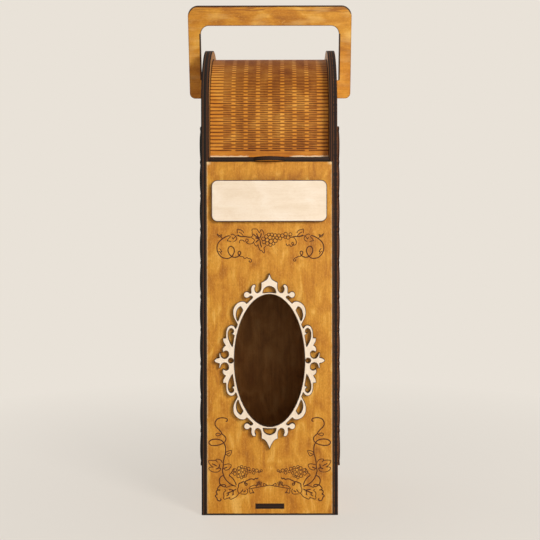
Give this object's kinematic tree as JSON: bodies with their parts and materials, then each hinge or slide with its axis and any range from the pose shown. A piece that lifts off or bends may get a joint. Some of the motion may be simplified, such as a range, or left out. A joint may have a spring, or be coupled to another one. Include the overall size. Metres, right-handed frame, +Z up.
{
  "type": "wooden wine bottle box",
  "caption": "Tall plywood box for one wine bottle, with a rolling lid over its arched top, an oval window in a scrollwork frame, and a swinging carrying handle.",
  "frame": {"origin": "middle of the bounding box on the ground, under the box", "axes": "+Z up, the front with the window faces -Y, +X to the right seen from the front"},
  "size_m": [0.1312, 0.1095, 0.3954],
  "materials": {
    "stained_face": "amber stain, satin",
    "stained_inside": "amber stain, matt",
    "bare_ply": "bare, sanded",
    "dark_ornament": "red-brown stain",
    "lid_sheet": "amber stain, satin",
    "burnt_edge": "laser-burnt edge"
  },
  "bodies": {
    "root": {"side_left": "stained_face", "side_right": "stained_face", "liner_left": "stained_inside", "liner_right": "stained_inside", "front_panel": "stained_face", "back_panel": "stained_face", "inner_wall": "stained_inside", "floor_board": "stained_inside", "name_plate": "bare_ply", "window_frame": "bare_ply", "side_ornament_left": "dark_ornament", "side_ornament_right": "dark_ornament"},
    "handle": {"handle": "stained_face"},
    "lid_lead": {"lid_slat_1": "lid_sheet"},
    "lid_second": {"lid_slat_2": "lid_sheet"},
    "lid_third": {"lid_slat_3": "lid_sheet"},
    "lid_end": {"lid_slat_4": "lid_sheet", "lid_rail": "burnt_edge"},
    "lid_back": {"lid_arch": "lid_sheet", "lid_tail": "lid_sheet"}
  },
  "joints": [
    {"name": "lid_slide", "type": "slide", "parent": "root", "child": "lid_back", "axis": [0, 0, -1], "range_m": [0, 0.13038], "deforming": ["lid_arch"]},
    {"name": "lid_roll", "type": "hinge", "parent": "root", "child": "lid_lead", "pos_m": [0, 0.00325, 0.30709], "axis": [-1, 0, 0], "range_deg": [0, 173.35]},
    {"name": "lid_fold_1", "type": "hinge", "parent": "lid_lead", "child": "lid_second", "pos_m": [0, -0.03825, 0.29988], "axis": [1, 0, 0], "range_deg": [0, 13.33]},
    {"name": "lid_fold_2", "type": "hinge", "parent": "lid_second", "child": "lid_third", "pos_m": [0, -0.03825, 0.29025], "axis": [1, 0, 0], "range_deg": [0, 13.33]},
    {"name": "lid_fold_3", "type": "hinge", "parent": "lid_third", "child": "lid_end", "pos_m": [0, -0.03825, 0.28063], "axis": [1, 0, 0], "range_deg": [0, 13.33]},
    {"name": "handle_swing", "type": "hinge", "parent": "root", "child": "handle", "pos_m": [0, 0.00325, 0.3309], "axis": [1, 0, 0], "range_deg": [-107, 81]}
  ],
  "couplings": [
    {"joint": "lid_roll", "follows": "lid_slide", "rad_per_m": 23.205},
    {"joint": "lid_fold_1", "follows": "lid_slide", "rad_per_m": 1.7829},
    {"joint": "lid_fold_2", "follows": "lid_slide", "rad_per_m": 1.7829},
    {"joint": "lid_fold_3", "follows": "lid_slide", "rad_per_m": 1.7829}
  ]
}
